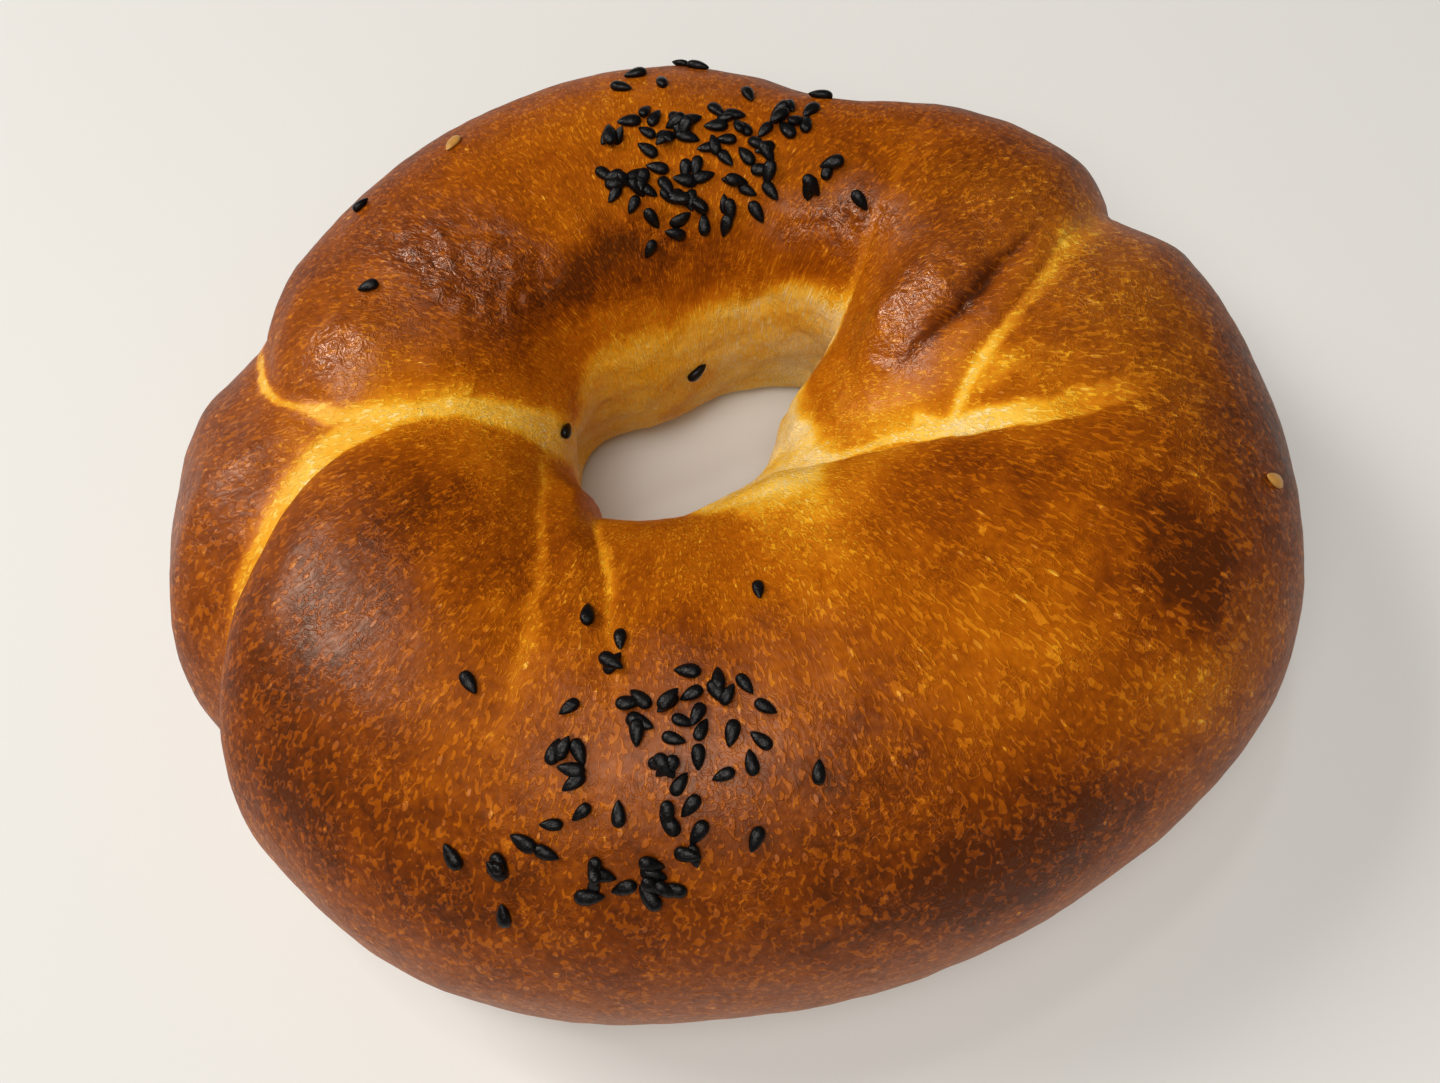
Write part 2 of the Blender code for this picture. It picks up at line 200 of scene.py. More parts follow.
def rope_at(around, across):
    """The plain rope of dough, without folds, at angles in radians. Sizes are in mm."""
    outside, wall, height = (ring_curve(row, around) for row in (OUTSIDE, HOLE_WALL, HEIGHT))
    middle = (outside + wall) / 2
    c, s = np.cos(across), np.sin(across)
    power = 2 / np.where(s >= 0, CROWN_ROUNDNESS, FOOT_ROUNDNESS)
    out = (outside - wall) / 2 * np.sign(c) * np.abs(c) ** power
    up = np.sign(s) * np.abs(s) ** power
    above = up * (1 - WIDEST_AT) * height
    below = np.maximum(-WIDEST_AT, up * WIDEST_AT * FOOT_OVERRUN) * height
    up = np.where(s >= 0, above, below)
    thickness = np.hypot(out, up)
    return Rope(out, up, middle, height, np.maximum(middle + out, LEAST_RADIUS), thickness)


print("half a rope's width", rope_at(np.radians(np.arange(0, 360, 90)), 0).thickness.round(1), "mm")

# %% The surface of the dough
Swelling = namedtuple("Swelling", "around across long wide turn height")
SWELLINGS = (
    Swelling(5.5, 116.5, 8.8, 4.3, -51, 2.6),
    Swelling(57, 40, 8.0, 8.0, 0, -1.0),
    Swelling(171, 84, 5.0, 4.5, 0, 0.9),
)
SWELLING_FALL = 1.2
SWELLING_STEEPNESS = 1.6


def patch_reach(patch, around, across, radius, thickness):
    """Squared distance from an oval patch's middle, 1 at its edge."""
    east = np.radians(turn_from(around, patch.around)) * radius
    north = np.radians(turn_from(across, patch.across)) * thickness
    c, s = math.cos(math.radians(patch.turn)), math.sin(math.radians(patch.turn))
    return ((east * c + north * s) / patch.long) ** 2 + ((north * c - east * s) / patch.wide) ** 2


def swelling_height(swelling, place):
    """Height in mm of one swelling, round on top; a hollow is below 0."""
    return swelling.height * np.exp(-SWELLING_FALL * patch_reach(swelling, *place) ** SWELLING_STEEPNESS)


def in_degrees(around, across):
    """Both angles in degrees, with across between -90 and 270."""
    return np.degrees(around), (np.degrees(across) + 90) % 360 - 90


def crust_points(around, across):
    """Points of the crust, in mm, at angles in radians."""
    around, across = np.broadcast_arrays(np.asarray(around, float), np.asarray(across, float))
    rope = rope_at(around, across)
    arc = np.maximum(rope.thickness, THINNEST)
    place = (*in_degrees(around, across), rope.radius, arc)
    depth = sum(fold_depth(fold, *place) ** 4 for fold in FOLDS) ** 0.25
    rise = sum(swelling_height(swelling, place) for swelling in SWELLINGS)
    clear = np.clip((rope.up + WIDEST_AT * rope.height) / FOLD_FADE, 0, 1)
    shrink = 1 - (depth - rise) * clear / np.maximum(rope.thickness, 1)
    reach = rope.middle + rope.out * shrink
    return np.stack([HOLE_CENTRE[0] + reach * np.cos(around), HOLE_CENTRE[1] + reach * np.sin(around),
                     WIDEST_AT * rope.height + rope.up * shrink], -1)


crown = crust_points(np.radians(np.arange(0, 360, 90)), np.radians(90))
print("crown heights", crown[:, 2].round(1))

# %% [markdown]
# ## The crust's mesh
#
# The mesh is a plain ring, a circle spun all the way round, whose points are then moved to the dough's
# surface. A spun ring has even rows and no poles. Its rows are drawn towards the crown and its columns
# towards the folds, so that the small faces are where the eye looks.

# %% Spin the ring
RING_RADIUS = 37.0
ROPE_RADIUS = 20.0
AROUND_STEPS = 460
ACROSS_STEPS = 212


def spun_ring(name, ring_radius, rope_radius):
    """A closed ring of quads round Z."""
    shape = bmesh.new()
    circle = bmesh.ops.create_circle(shape, segments=ACROSS_STEPS, radius=rope_radius)
    upright = Matrix.Translation((ring_radius, 0, 0)) @ Matrix.Rotation(math.pi / 2, 4, 'X')
    bmesh.ops.transform(shape, matrix=upright, verts=circle["verts"])
    bmesh.ops.spin(shape, geom=shape.verts[:] + shape.edges[:], axis=(0, 0, 1), cent=(0, 0, 0),
                   angle=math.tau, steps=AROUND_STEPS, use_merge=True)
    bmesh.ops.recalc_face_normals(shape, faces=shape.faces)
    mesh = bpy.data.meshes.new(name)
    shape.to_mesh(mesh)
    shape.free()
    return mesh


crust_mesh = spun_ring("crust", RING_RADIUS, ROPE_RADIUS)
print("a ring of", len(crust_mesh.polygons), "faces")

# %% Draw the ring to the dough
CROWN_GATHER = 0.25
FOLD_GATHER = 0.6
GATHER_REACH = 9.0


def gathered(around, across):
    """Around angles, in radians, drawn towards the folds."""
    around_deg, across_deg = in_degrees(around, across)
    for fold in FOLDS:
        across_at, around_at, depth_at = (np.array(column, float) for column in zip(*fold.route))
        away = turn_from(around_deg, route_curve(across_at, around_at, across_deg))
        depth = np.maximum(0, route_curve(across_at, depth_at, across_deg))
        pull = FOLD_GATHER * np.minimum(1, depth) * np.exp(-(away / GATHER_REACH) ** 2)
        around_deg = around_deg - pull * away
    return np.radians(around_deg)


flat = np.empty(len(crust_mesh.vertices) * 3)
crust_mesh.vertices.foreach_get("co", flat)
ring = flat.reshape(-1, 3)
around = np.arctan2(ring[:, 1], ring[:, 0])
across = np.arctan2(ring[:, 2], np.hypot(ring[:, 0], ring[:, 1]) - RING_RADIUS)
across += CROWN_GATHER * np.cos(across)
around = gathered(around, across)
points = crust_points(around, across)
print("crust's box", np.ptp(points, axis=0).round(1), "mm")

# %% [markdown]
# ## Places on the crust
#
# The patterns of a crust follow the dough and not the world: strands cross a seam, and streaks run from
# the hole over the rope. So each point keeps a few measures of its own: its distance from each fold and its
# way across the rope of dough. Smooth random numbers say how far, in mm, the browning strays from its
# place there, and how the edges of the pale folds fray.

# %% Measure the crust
rope = rope_at(around, across)
arc = np.maximum(rope.thickness, THINNEST)
around_deg, across_deg = in_degrees(around, across)
clear_of_tray = np.clip((rope.up + WIDEST_AT * rope.height) / FOLD_FADE, 0, 1)
along_rope = np.radians(across_deg) * arc
sides = [side_of(fold, around_deg, across_deg, rope.radius, arc) for fold in FOLDS]
print("within 2 mm of a fold", (np.abs(sides).min(axis=0) < 2).mean().round(2), "of the points")

# %% Let the edges stray
FURTHEST_DRIFT = 2.8
DRIFT_SIZE = 6.0
FRAY_SIZE = 1.8


def uneven(places, size, octaves=2, shift=0):
    """Smooth random numbers between about -1 and 1, with bumps of the given size in mm.

    Another shift gives other numbers at the same places.
    """
    return np.array([noise.fractal(Vector(place), 1.0, 2.0, octaves) for place in (places + shift) / size])


drift = FURTHEST_DRIFT * uneven(points, DRIFT_SIZE, 3, shift=40)
drift_across = FURTHEST_DRIFT * uneven(points, DRIFT_SIZE, 3, shift=90)
fray = uneven(points, FRAY_SIZE, 1, shift=150)
print("drift of the browning's edges", drift.min().round(1), drift.max().round(1), "mm")

# %% [markdown]
# ## Stretched dough
#
# In a seam the dough was pulled open late, so it carries no egg wash and stays the colour of butter. Each
# stretched band has its core and its fading edge in mm, after and before the fold's line, and a route of
# (across, paleness, breadth) along it. The same happens in the hole, where the lobes shield each other: a
# list says from which angle across the crust is pale there.

# %% The pale bands
Band = namedtuple("Band", "fold before after route")
BANDS = (
    Band(LEFT_SEAM, (0.6, 1.5), (0.6, 1.3),
         ((215, 0.6, 1.5), (150, 0.8, 1.5), (128, 0.74, 1.1), (100, 0.82, 1.0), (84, 0.74, 0.7),
          (72, 0.65, 0.45), (56, 0.85, 0.45), (34, 0.5, 0.6), (0, 0.2, 1.0))),
    Band(LEFT_BRANCH, (1.2, 3.2), (1.0, 0.5),
         ((108, 0.5, 1.0), (85, 0.78, 1.0), (60, 0.65, 0.9), (42, 0.45, 0.7), (15, 0.3, 0.7),
          (-15, 0.3, 0.7))),
    Band(FRONT_RIDGE, (0.1, 1.1), (0.1, 1.1),
         ((180, 0.4, 1.0), (150, 0.35, 0.8), (120, 0.35, 1.0), (100, 0.35, 1.2), (86, 0.2, 1.4))),
    Band(SECOND_RIDGE, (0.1, 0.7), (0.1, 1.2),
         ((190, 0.5, 1.0), (150, 0.35, 0.8), (135, 0.5, 0.8), (118, 0.45, 1.0), (85, 0.1, 1.0))),
    Band(RIGHT_SEAM, (1.0, 0.6), (0.7, 1.4),
         ((190, 0.9, 1.0), (150, 0.9, 1.0), (136, 0.8, 0.6), (126, 0.7, 0.45), (117, 0.8, 0.6),
          (109, 0.95, 1.0), (101, 0.95, 1.1), (95, 0.8, 1.1), (88, 0.6, 1.1), (80, 0.4, 1.0),
          (70, 0.1, 1.0), (58, 0.0, 1.0))),
    Band(RIGHT_BRANCH, (0.3, 1.3), (0.3, 1.3),
         ((110, 0.8, 0.7), (100, 0.7, 0.7), (92, 0.45, 0.6), (85, 0.5, 0.9), (75, 0.45, 1.5),
          (62, 0.4, 2.0), (45, 0.25, 2.0), (0, 0.1, 1.0))),
    Band(FAR_SEAM, (0.4, 1.2), (0.4, 1.4),
         ((200, 0.9, 1.4), (165, 0.95, 1.4), (150, 0.7, 1.0), (134, 0.3, 0.6), (98, 0.2, 0.5),
          (60, 0.0, 0.5))),
)
print(len(BANDS), "of the", len(FOLDS), "folds are pale")

# %% Where the dough is pale
BAND_DRIFT = 0.2
BAND_FRAY = 0.4
BAND_OVERRUN = 8
PALE_FROM = (146, 138, 140, 143, 144, 150, 156, 170, 175, 143, 115, 136)
PALE_DRIFT = 2.5
PALE_SOFTNESS = 13.0
GLOW_WIDTH = 5.0


def eased(t):
    t = np.clip(t, 0, 1)
    return t * t * (3 - 2 * t)


stretched = np.zeros(len(points))
glow = np.zeros(len(points))
for band in BANDS:
    side = sides[FOLDS.index(band.fold)] + BAND_DRIFT * drift + BAND_FRAY * fray
    along, *amounts = zip(*band.route)
    paleness, breadth = (route_curve(along, amount, across_deg) for amount in amounts)
    first, *_, last = sorted(place for place, _, _ in band.fold.route)
    in_range = (across_deg > first - BAND_OVERRUN) & (across_deg < last + BAND_OVERRUN)
    core, fade = (breadth * np.where(side > 0, *pair) for pair in zip(band.after, band.before))
    stretched = np.maximum(stretched, paleness * in_range * (1 - eased((np.abs(side) - core) / fade)))
    glow = np.maximum(glow, paleness * in_range * (1 - eased((np.abs(side) - core) / GLOW_WIDTH)))
hole_turn = ring_curve(PALE_FROM, around)
in_hole = eased((across_deg + PALE_DRIFT * drift - hole_turn) / PALE_SOFTNESS)
print("stretched share", (stretched > 0.5).mean().round(3), "in the hole", in_hole.mean().round(3))

# %% [markdown]
# ## Browning
#
# How brown the crust is, from 0, raw dough, to 1, nearly burnt, starts from the way across the ring. The
# oven then leaves its own spots, brown where a lobe stood up or the wash pooled, and golden where it ran
# thin. A painter would set those one by one, and so does this list: place, half lengths, turn and amount. The
# crease on the right is painted dark along its floor, partly burnt crust and partly painted shade in the
# crease. The crust glows golden beside each pale fold, and a last list says how brown the walls of the hole
# are.

# %% The oven's spots
Spot = namedtuple("Spot", "around across long wide turn amount")


def spots(*rows):
    return [Spot(*row) for row in rows]


SPOTS = spots(
    # the far lobe
    (147, 101, 12, 7, 80, 0.18), (124, 125, 12, 4, 0, 0.24), (127, 78, 10, 8, 0, -0.03),
    (90, 62, 10, 6, 0, -0.07), (95, 78, 16, 9, 0, -0.10), (80, 112, 12, 6, 0, -0.02),
    (46, 95, 5, 7, 0, 0.04), (35, 135, 5, 4, 0, 0.10), (106, 138, 8, 4, 0, -0.06),
    (100, 126, 10, 3, 0, 0.16), (112, 98, 6, 6, 0, 0.05), (80, 138, 6, 3.5, 0, 0.15),
    (111, 138, 5, 4, 0, -0.08), (165, 101, 4, 4, 0, 0.10), (112, 111, 4, 4, 0, -0.07),
    (176, 98, 7, 5, 0, -0.13), (167, 68, 6, 5, 0, -0.06),
    # the right lobes
    (5, 117, 9, 4.5, -51, 0.10), (37, 118, 5, 5, 0, 0.16), (30, 96, 8, 8, 0, 0.08), (24, 58, 9, 7, 0, 0.02),
    (355, 88, 8, 6, 0, 0.06), (0, 62, 9, 9, 0, -0.08), (348, 38, 14, 8, 0, 0.16),
    (338, 122, 10, 5, 0, -0.20), (337, 133, 5, 4, 0, -0.10), (346, 101, 6, 1.8, -60, -0.35),
    (353, 108, 4, 4, 0, -0.10),
    # the front lobe
    (322, 108, 10, 5, 0, 0.18), (326, 60, 6, 6, 0, 0.28), (312, 76, 13, 8, 20, -0.13),
    (303, 72, 8, 6, 0, -0.10), (318, 42, 9, 6, 0, -0.22), (294, 36, 14, 6, 0, 0.28),
    (299, 113, 12, 6, 0, -0.27), (325, 95, 10, 6, 0, 0.06), (283, 72, 12, 8, 0, 0.12),
    (282, 86, 10, 7, 0, -0.10), (264, 86, 10, 8, 0, 0.06), (262, 44, 14, 6, 0, 0.10),
    (206, 104, 7, 7, 0, 0.11), (209, 112, 3.5, 3.5, 0, 0.14), (281, 112, 3.5, 3, 0, 0.10),
    (297, 28, 12, 6, 0, 0.12), (243, 46, 6, 5, 0, 0.11), (213, 82, 9, 8, 0, 0.16),
    (224, 50, 12, 7, 0, 0.16), (267, 40, 6, 6, 0, -0.10), (194, 118, 6, 6, 0, -0.14),
    (229, 124, 5, 8, 0, 0.13), (264, 102, 8, 6, 0, 0.06), (236, 118, 7, 4, 0, 0.02),
    # the lobe on the left
    (200, 36, 7, 5, 0, -0.06), (200, 12, 9, 7, 0, 0.08), (186, 78, 3, 3, 0, -0.2),
)
print(sum(spot.amount > 0 for spot in SPOTS), "of the", len(SPOTS), "spots are brown")

# %% Brown the crust
# Browning by the way across. The outer side round its widest is kept paler, partly by its own baking and
# partly as painted light bounced up from the floor
BAKED_AND_BOUNCE = ((-90, 0.5), (-40, 0.50), (0, 0.58), (35, 0.72), (65, 0.70), (90, 0.64), (115, 0.60), (140, 0.50),
         (180, 0.42), (270, 0.4))
# How strongly the crease's floor is painted darker, by the way across: painted shade in the crease, with some
# burnt crust
CREASE_SHADE_AND_BURN = ((124, 0.0), (118, 0.5), (110, 1.0), (98, 0.9), (88, 0.5), (76, 0.0))
CREASE_SHADE_WIDTH = 0.7
CREASE_SHADE_AMOUNT = 0.28
GLOW = 0.24
IN_HOLE = (0.05, 0.07, 0.10, 0.17, 0.17, 0.14, 0.13, 0.13, 0.12, 0.12, 0.10, 0.03)
HOLE_MOTTLE = 0.03
RAW_DOUGH = 0.04

browning = route_curve(*zip(*BAKED_AND_BOUNCE), across_deg)
warped = (around_deg + np.degrees(drift / rope.radius), across_deg + np.degrees(drift_across / arc))


def painted(rows):
    """The sum of soft spots at every point of the crust."""
    return sum(spot.amount * np.exp(-patch_reach(spot, *warped, rope.radius, arc)) for spot in rows)


browning = browning + painted(SPOTS)
# Painted shade along the crease's floor, with some burnt crust, darkens the browning there
crease_shade_and_burn = np.exp(-(sides[FOLDS.index(CREASE)] / CREASE_SHADE_WIDTH) ** 2)
browning = browning + CREASE_SHADE_AMOUNT * crease_shade_and_burn * route_curve(*zip(*CREASE_SHADE_AND_BURN), across_deg)
browning = browning * (1 - GLOW * glow)
browning = browning * (1 - in_hole) + (ring_curve(IN_HOLE, around) + HOLE_MOTTLE * drift) * in_hole
browning = browning * (1 - stretched) + RAW_DOUGH * stretched
browning = np.clip(browning, 0, 1)
print("browning from", browning.min().round(2), "to", browning.max().round(2))

# %% [markdown]
# ## Relief
#
# A crust is never smooth: it swells unevenly, wrinkles where steam lifted it, and lies in strands where it
# was stretched. What is wider than about a millimetre is real relief in the mesh. Finer grain is left to
# the material. The grain's place turns with the ring, so its strands always run across the rope of dough.

# %% Raise the relief
Blister = namedtuple("Blister", "around across long wide turn")
BLISTERS = (Blister(147, 102, 11, 6, 80), Blister(171, 84, 4, 4, 0), Blister(5, 117, 8, 4, -51),
            Blister(38, 118, 6, 4, 0), Blister(85, 118, 8, 3, 0))
blistered = np.zeros(len(points))
for blister in BLISTERS:
    blistered = np.maximum(blistered, np.exp(-patch_reach(blister, *warped, rope.radius, arc) ** 2))

GRAIN_RADIUS = 40
SWELL_SIZE, SKIN_SIZE, WRINKLE_SIZE, STRAND_SIZE = 13.0, 3.5, 3.0, (1.8, 1.8, 4.0)
SWELL, SKIN, SKIN_IN_HOLE, WRINKLE, STRAND = 0.22, 0.10, 0.20, 0.30, 0.12
grain_place = np.stack([np.cos(around) * GRAIN_RADIUS, np.sin(around) * GRAIN_RADIUS, along_rope], -1)
wrinkles = 3 * np.abs(uneven(points, WRINKLE_SIZE, shift=10)) - 0.6
strands = uneven(grain_place / STRAND_SIZE, 1.0, shift=5)
relief = (SWELL * uneven(points, SWELL_SIZE) + (SKIN + SKIN_IN_HOLE * in_hole) * uneven(points, SKIN_SIZE)
          + WRINKLE * blistered * wrinkles + STRAND * stretched * strands)


def set_points(mesh, points):
    """Move a mesh's points to places in mm."""
    mesh.vertices.foreach_set("co", (points * MM).ravel())
    mesh.update()


set_points(crust_mesh, points)
normals = np.empty(points.size)
crust_mesh.vertices.foreach_get("normal", normals)
points = points + normals.reshape(-1, 3) * (relief * clear_of_tray)[:, None]
set_points(crust_mesh, points)
crust_mesh.shade_smooth()
print("relief from", relief.min().round(2), "to", relief.max().round(2), "mm")

# %% [markdown]
# ## Measures for the material
#
# Three more are painted with spots: where the egg wash shines, where the oven combed the crust into fine
# lines, and where the colour is greyer and duller, partly the crust's own dull colour and partly a painted
# sheen. The wash also shines on the shoulders, all round. Every measure goes to the mesh as an attribute,
# one value a point. A material reads an attribute by its name, and since it belongs to the mesh it moves
# with the bread.

# %% Store the measures
GLAZED = spots(
    (214, 79, 11, 7, 0, 0.47), (267, 84, 13, 8, 0, 0.45), (4, 117, 9, 5, -51, 1.0),
    (149, 94, 10, 6, 80, 0.75), (173, 86, 5, 4, 0, 0.8), (8, 70, 10, 10, 0, 0.3), (38, 118, 6, 5, 0, 0.7),
    (186, 46, 9, 10, 0, 0.45),
)
COMBED = spots(
    (236, 118, 8, 12, 0, 1.0), (252, 112, 5, 10, 0, 1.0), (160, 60, 8, 10, 0, 0.4),
    (345, 90, 12, 8, 0, 0.7), (206, 100, 8, 6, 0, 0.4),
)
# Where the crust is painted greyer and duller: partly its own dull colour, partly a painted sheen
DULL_AND_SHEEN_SPOTS = spots(
    (0, 64, 14, 12, 0, 0.8), (14, 72, 8, 8, 0, 0.4), (345, 60, 10, 8, 0, 0.5), (26, 84, 8, 12, 0, 0.4),
    (325, 38, 14, 8, 0, 0.5),
)
SHOULDER_GLAZE = ((-90, 0.0), (-20, 0.3), (10, 0.34), (35, 0.2), (60, 0.06), (80, 0.0), (270, 0.0))


def store(mesh, name, values):
    """A number or a vector for every point of a mesh."""
    kind, field = ('FLOAT', "value") if values.ndim == 1 else ('FLOAT_VECTOR', "vector")
    mesh.attributes.new(name, kind, 'POINT').data.foreach_set(field, values.astype(np.float32).ravel())


glazed, combed, dulled = painted(GLAZED), painted(COMBED), painted(DULL_AND_SHEEN_SPOTS)
glazed = glazed + route_curve(*zip(*SHOULDER_GLAZE), across_deg)
for name, values in (("browning", browning), ("blistered", blistered), ("glazed", glazed),
                     ("combed", combed), ("dulled", dulled), ("grain_place", grain_place)):
    store(crust_mesh, name, values)
crust = bpy.data.objects.new("acma_crust", crust_mesh)
bpy.context.scene.collection.objects.link(crust)
print(crust.name, [attribute.name for attribute in crust_mesh.attributes])

# %% [markdown]
# ## Nodes as arithmetic
#
# A finish is mostly sums: so much grain, times how pale the dough is. The class below wraps a socket, so
# that + - * / on it add Math nodes, and one method adds any other node.

# %% Wires
class Wire:
    """An output socket of a material that arithmetic works on."""

    def __init__(self, tree, socket):
        self.tree = tree
        self.socket = socket

    def node(self, kind, settings, inputs, out=0):
        """Any node: its settings are set first, then its inputs by name or number."""
        added = self.tree.nodes.new("ShaderNode" + kind)
        for name, setting in settings.items():
            if name == "stops":
                ramp = added.color_ramp.elements
                while len(ramp) < len(setting):
                    ramp.new(1.0)
                for element, (position, colour) in zip(ramp, setting):
                    element.position = position
                    element.color = (*colour, 1)
            else:
                setattr(added, name, setting)
        for name, value in inputs.items():
            if isinstance(value, Wire):
                self.tree.links.new(value.socket, added.inputs[name])
            else:
                added.inputs[name].default_value = value
        return Wire(self.tree, added.outputs[out])

    def math(self, operation, *values):
        return self.node("Math", {"operation": operation}, dict(enumerate(values)))

    def __add__(self, other):
        return self.math('ADD', self, other)

    def __sub__(self, other):
        return self.math('SUBTRACT', self, other)

    def __rsub__(self, other):
        return self.math('SUBTRACT', other, self)

    def __mul__(self, other):
        return self.math('MULTIPLY', self, other)

    def __abs__(self):
        return self.math('ABSOLUTE', self)

    __radd__ = __add__
    __rmul__ = __mul__

    def between(self, low, high):
        """0 below low, 1 above high, smooth in between."""
        return self.node("MapRange", {"interpolation_type": 'SMOOTHSTEP'},
                         {"Value": self, "From Min": low, "From Max": high})

    def to(self, shader, name):
        self.tree.links.new(self.socket, shader.inputs[name])


def new_finish(name):
    """A material, its shader, and a wire to start from: the place on the object, in metres."""
    material = bpy.data.materials.new(name)
    material.use_nodes = True
    tree = material.node_tree
    place = Wire(tree, tree.nodes.new("ShaderNodeTexCoord").outputs["Object"])
    return material, tree.nodes["Principled BSDF"], place


def attribute(wire, name, out="Fac"):
    return wire.node("Attribute", {"attribute_name": name}, {}, out)


def grain(place, scale, detail=2.0, distortion=0.0):
    """Noise from 0 to 1, scale bumps to each unit of the place."""
    return place.node("TexNoise", {}, {"Vector": place, "Scale": scale, "Detail": detail,
                                       "Distortion": distortion})


print("wires ready")

# %% [markdown]
# ## The crust's finish
#
# One ramp turns browning into colour: butter, gold, amber, chestnut, and near black where it caught. The
# grain shifts the browning and not the colour itself, as it does in the oven, so that specks and strands
# stay in the crust's own colours. Plain crust is nearly matt, with a warm sheen. The egg wash is a second,
# glossy shader of the same colour with a calmer surface, and a Mix Shader lays it where the crust is glazed
# and on the small raised specks.

# %% Make the crust's finish
CRUST_COLOURS = (
    (0.00, (0.88, 0.66, 0.31)),
    (0.12, (0.83, 0.48, 0.055)),
    (0.25, (0.73, 0.31, 0.010)),
    (0.40, (0.53, 0.157, 0.005)),
    (0.55, (0.38, 0.091, 0.002)),
    (0.70, (0.26, 0.055, 0.0015)),
    (0.85, (0.155, 0.029, 0.0015)),
    (1.00, (0.075, 0.015, 0.002)),
)
PER_MM = 1 / MM
MOTTLE_SIZE, FINE_SIZE, WORM_SIZE, WORMY_SIZE = 4.5, 0.8, 1.25, 6.0
STREAK_SIZE, FLECK_SIZE, SPECK_SIZE, COMB_LINE_SIZE = 0.9, 0.42, 0.9, 1.5
CREASE_SIZE = 1.5
STREAK_STRETCH = (1, 1, 0.5)
COMB_STRETCH = (1, 1, 0.15)
MIDDLE_SHIFT = 0.088
CALM = 0.6
# The tint of the duller patches: partly the crust's own colour, partly a painted sheen
DULL_AND_SHEEN_TINT = (0.93, 1.10, 1.6, 1)
WARM_SHEEN = (1.0, 0.5, 0.1, 1)
WASH_SHEEN = (1.0, 0.78, 0.62, 1)
MIX_FACTOR, MIX_COLOUR_A, MIX_COLOUR_B, MIX_COLOUR_OUT = 0, 6, 7, 2


def crust_finish():
    material, shader, place = new_finish("egg_washed_crust")
    baked, blistered, glazed, combed, dulled = (
        attribute(place, name) for name in ("browning", "blistered", "glazed", "combed", "dulled"))
    grain_at = attribute(place, "grain_place", "Vector")

    drawn_at, combed_at = (place.node("VectorMath", {"operation": 'MULTIPLY'}, {0: grain_at, 1: stretch})
                           for stretch in (STREAK_STRETCH, COMB_STRETCH))
    mottle = grain(place, PER_MM / MOTTLE_SIZE, 4.0)
    fine = grain(place, PER_MM / FINE_SIZE, 2.0)
    streaks = grain(drawn_at, 1 / STREAK_SIZE, 1.0, distortion=1.2)
    comb = grain(combed_at, 1 / COMB_LINE_SIZE, 1.0)
    flecks = grain(drawn_at, 1 / FLECK_SIZE, 0.0, distortion=0.8).between(0.56, 0.66)
    worms = grain(place, PER_MM / WORM_SIZE, 0.0, distortion=2.0)
    wormy = grain(place, PER_MM / WORMY_SIZE, 1.0).between(0.42, 0.60)
    curls = (1 - abs(worms - 0.5).between(0.0, 0.10)) * (wormy + dulled)
    cells, cell_luck = (place.node("TexVoronoi", {}, {"Vector": drawn_at, "Scale": 1 / SPECK_SIZE}, out)
                        for out in ("Distance", "Color"))
    luck = place.node("SeparateColor", {}, {"Color": cell_luck})
    specks = (0.04 + 0.26 * luck * luck - cells).between(0.0, 0.08)

    marks = (0.34 * (mottle - 0.5) + 0.28 * (fine - 0.5) + 0.18 * (streaks - 0.5)
             + 0.3 * combed * (comb - 0.5) - 0.18 * flecks - 0.20 * specks - 0.11 * curls + MIDDLE_SHIFT)
    shade = baked + (0.35 + baked) * marks
    plain = place.node("ValToRGB", {"stops": CRUST_COLOURS}, {"Fac": shade}, "Color")
    # The dull tint greys the colour: partly the crust's own dull colour, partly a painted sheen
    colour = place.node("Mix", {"data_type": 'RGBA', "blend_type": 'MULTIPLY'},
                        {MIX_FACTOR: dulled, MIX_COLOUR_A: plain, MIX_COLOUR_B: DULL_AND_SHEEN_TINT}, MIX_COLOUR_OUT)
    colour.to(shader, "Base Color")

    creases = abs(grain(place, PER_MM / CREASE_SIZE, 1.0, distortion=1.5) - 0.5)
    height = (0.10 * fine + 0.06 * specks + 0.05 * curls - 0.6 * blistered * creases
              + 0.06 * flecks + 0.10 * streaks + 0.06 * combed * comb)
    lively, calm = (place.node("Bump", {}, {"Strength": strength, "Distance": MM, "Height": height})
                    for strength in (1.0, CALM))
    lively.to(shader, "Normal")
    (0.50 + 0.20 * (fine - 0.5)).to(shader, "Roughness")
    shader.inputs["Specular IOR Level"].default_value = 0.1
    shader.inputs["Specular Tint"].default_value = WARM_SHEEN

    wash = place.node("BsdfPrincipled", {}, {
        "Base Color": colour, "Roughness": 0.36 - 0.12 * blistered + 0.2 * (fine - 0.5), "Normal": calm,
        "Specular IOR Level": 1.0, "Specular Tint": WASH_SHEEN}, "BSDF")
    dough = Wire(place.tree, shader.outputs["BSDF"])
    finish = place.node("MixShader", {}, {0: glazed + 0.25 * specks, 1: dough, 2: wash})
    finish.to(place.tree.nodes["Material Output"], "Surface")
    return material


crust_mesh.materials.append(crust_finish())
print(crust_mesh.materials[0].name, len(crust_mesh.materials[0].node_tree.nodes), "nodes")

# %% [markdown]
# ## The seeds
#
# Nigella seeds are black, 2 to 3 mm long, blunt at one end and pointed at the other, with three flat sides.
# They lie as they fell: some alone, most in two patches. The places that are also in the solid come first,
# by the same rule, and then the rest fall between them and onto them. A seed that falls close to another
# is lifted, as it would be if it lay on it.

